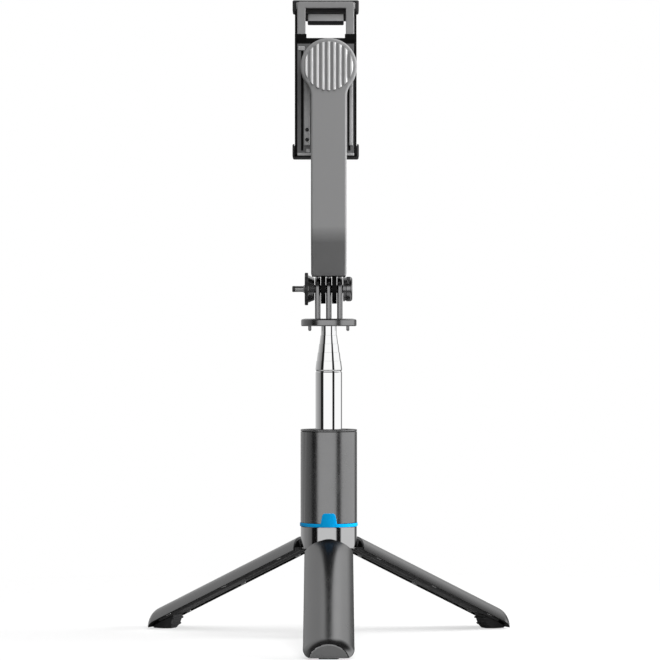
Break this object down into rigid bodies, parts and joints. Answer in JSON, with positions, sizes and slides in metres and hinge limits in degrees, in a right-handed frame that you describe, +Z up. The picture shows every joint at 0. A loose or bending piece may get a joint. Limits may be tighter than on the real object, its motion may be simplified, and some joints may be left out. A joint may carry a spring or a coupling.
{
  "type": "selfie stick",
  "caption": "Telescopic selfie stick whose handle splits into a folding tripod, with a tilting arm, a swivelling phone clamp and a removable shutter remote.",
  "frame": {"origin": "on the floor under the pole axis, between the three open feet", "axes": "+Z up along the pole, +Y towards the side of the clamp where the phone sits, +X to the right of the front leg seen from the front"},
  "size_m": [0.2172, 0.1917, 0.3711],
  "materials": {
    "gloss_black": "gloss",
    "satin_black": "satin",
    "satin_grey": "satin",
    "rubber": "matte",
    "blue_plastic": "gloss",
    "chrome": "mirror",
    "dark_chrome": "mirror",
    "steel": "satin"
  },
  "bodies": {
    "handle": {"handle_tube": "gloss_black", "top_cap": "satin_black", "accent_ring": "blue_plastic", "tripod_hub": "dark_chrome", "base_tube": "chrome", "base_plug": "satin_black", "remote_dock": "satin_black", "leg_pin_front": "steel", "leg_pin_right": "steel", "leg_pin_left": "steel"},
    "leg_front": {"leg_shell_front": "gloss_black", "leg_liner_front": "satin_black", "leg_foot_front": "rubber"},
    "leg_right": {"leg_shell_right": "gloss_black", "leg_liner_right": "satin_black", "leg_foot_right": "rubber"},
    "leg_left": {"leg_shell_left": "gloss_black", "leg_liner_left": "satin_black", "leg_foot_left": "rubber"},
    "pole_1": {"pole_section_1": "chrome"},
    "pole_2": {"pole_section_2": "chrome"},
    "pole_3": {"pole_section_3": "chrome"},
    "pole_4": {"pole_section_4": "chrome"},
    "pole_5": {"pole_section_5": "chrome"},
    "head": {"head_mount": "gloss_black", "lock_nut": "steel", "nut_cap": "satin_black"},
    "thumbscrew": {"thumbscrew": "satin_black", "tilt_bolt": "steel"},
    "arm": {"arm_rear_shell": "satin_grey", "arm_front_shell": "satin_grey", "swivel_cap": "satin_grey"},
    "clamp": {"clamp_body": "satin_grey", "clamp_front": "satin_black", "rest_pad": "rubber", "lower_pad": "rubber", "friction_leaf_left": "steel", "friction_leaf_right": "steel", "swivel_shaft": "steel", "friction_ring": "rubber", "thrust_washer": "steel", "swivel_nut": "steel"},
    "jaw": {"upper_jaw": "satin_grey", "upper_pad": "rubber"},
    "remote": {"remote_case": "satin_black"},
    "shutter": {"shutter_button": "satin_grey"}
  },
  "joints": [
    {"name": "leg_fold_front", "type": "hinge", "parent": "handle", "child": "leg_front", "pos_m": [0, -0.0117, 0.05634], "axis": [-1, 0, 0], "range_deg": [-64.7, 0]},
    {"name": "leg_fold_right", "type": "hinge", "parent": "handle", "child": "leg_right", "pos_m": [0.01013, 0.00585, 0.05634], "axis": [0.5, -0.866, 0], "range_deg": [-64.7, 0]},
    {"name": "leg_fold_left", "type": "hinge", "parent": "handle", "child": "leg_left", "pos_m": [-0.01013, 0.00585, 0.05634], "axis": [0.5, 0.866, 0], "range_deg": [-64.7, 0]},
    {"name": "pole_slide_1", "type": "slide", "parent": "handle", "child": "pole_1", "axis": [0, 0, 1], "range_m": [-0.059, 0.03]},
    {"name": "pole_slide_2", "type": "slide", "parent": "pole_1", "child": "pole_2", "axis": [0, 0, 1], "range_m": [0, 0.07]},
    {"name": "pole_slide_3", "type": "slide", "parent": "pole_2", "child": "pole_3", "axis": [0, 0, 1], "range_m": [0, 0.07]},
    {"name": "pole_slide_4", "type": "slide", "parent": "pole_3", "child": "pole_4", "axis": [0, 0, 1], "range_m": [0, 0.07]},
    {"name": "pole_slide_5", "type": "slide", "parent": "pole_4", "child": "pole_5", "axis": [0, 0, 1], "range_m": [0, 0.07]},
    {"name": "head_pan", "type": "hinge", "parent": "pole_5", "child": "head", "pos_m": [0, 0, 0.1818], "axis": [0, 0, 1], "continuous": true},
    {"name": "thumbscrew_turn", "type": "hinge", "parent": "head", "child": "thumbscrew", "pos_m": [0, 0, 0.2032], "axis": [1, 0, 0], "continuous": true},
    {"name": "arm_tilt", "type": "hinge", "parent": "head", "child": "arm", "pos_m": [0, 0, 0.2032], "axis": [1, 0, 0], "range_deg": [-145, 80]},
    {"name": "clamp_swivel", "type": "hinge", "parent": "arm", "child": "clamp", "pos_m": [0, -0.015, 0.331], "axis": [0, 1, 0], "continuous": true},
    {"name": "jaw_slide", "type": "slide", "parent": "clamp", "child": "jaw", "axis": [0, 0, 1], "range_m": [-0.014, 0.013]},
    {"name": "remote_pull", "type": "slide", "parent": "handle", "child": "remote", "axis": [0, 1, 0], "range_m": [0, 0.03]},
    {"name": "shutter_press", "type": "slide", "parent": "remote", "child": "shutter", "axis": [0, -1, 0], "range_m": [0, 0.0006], "stiffness_N_per_m": 1000, "springref_m": -0.0004}
  ]
}
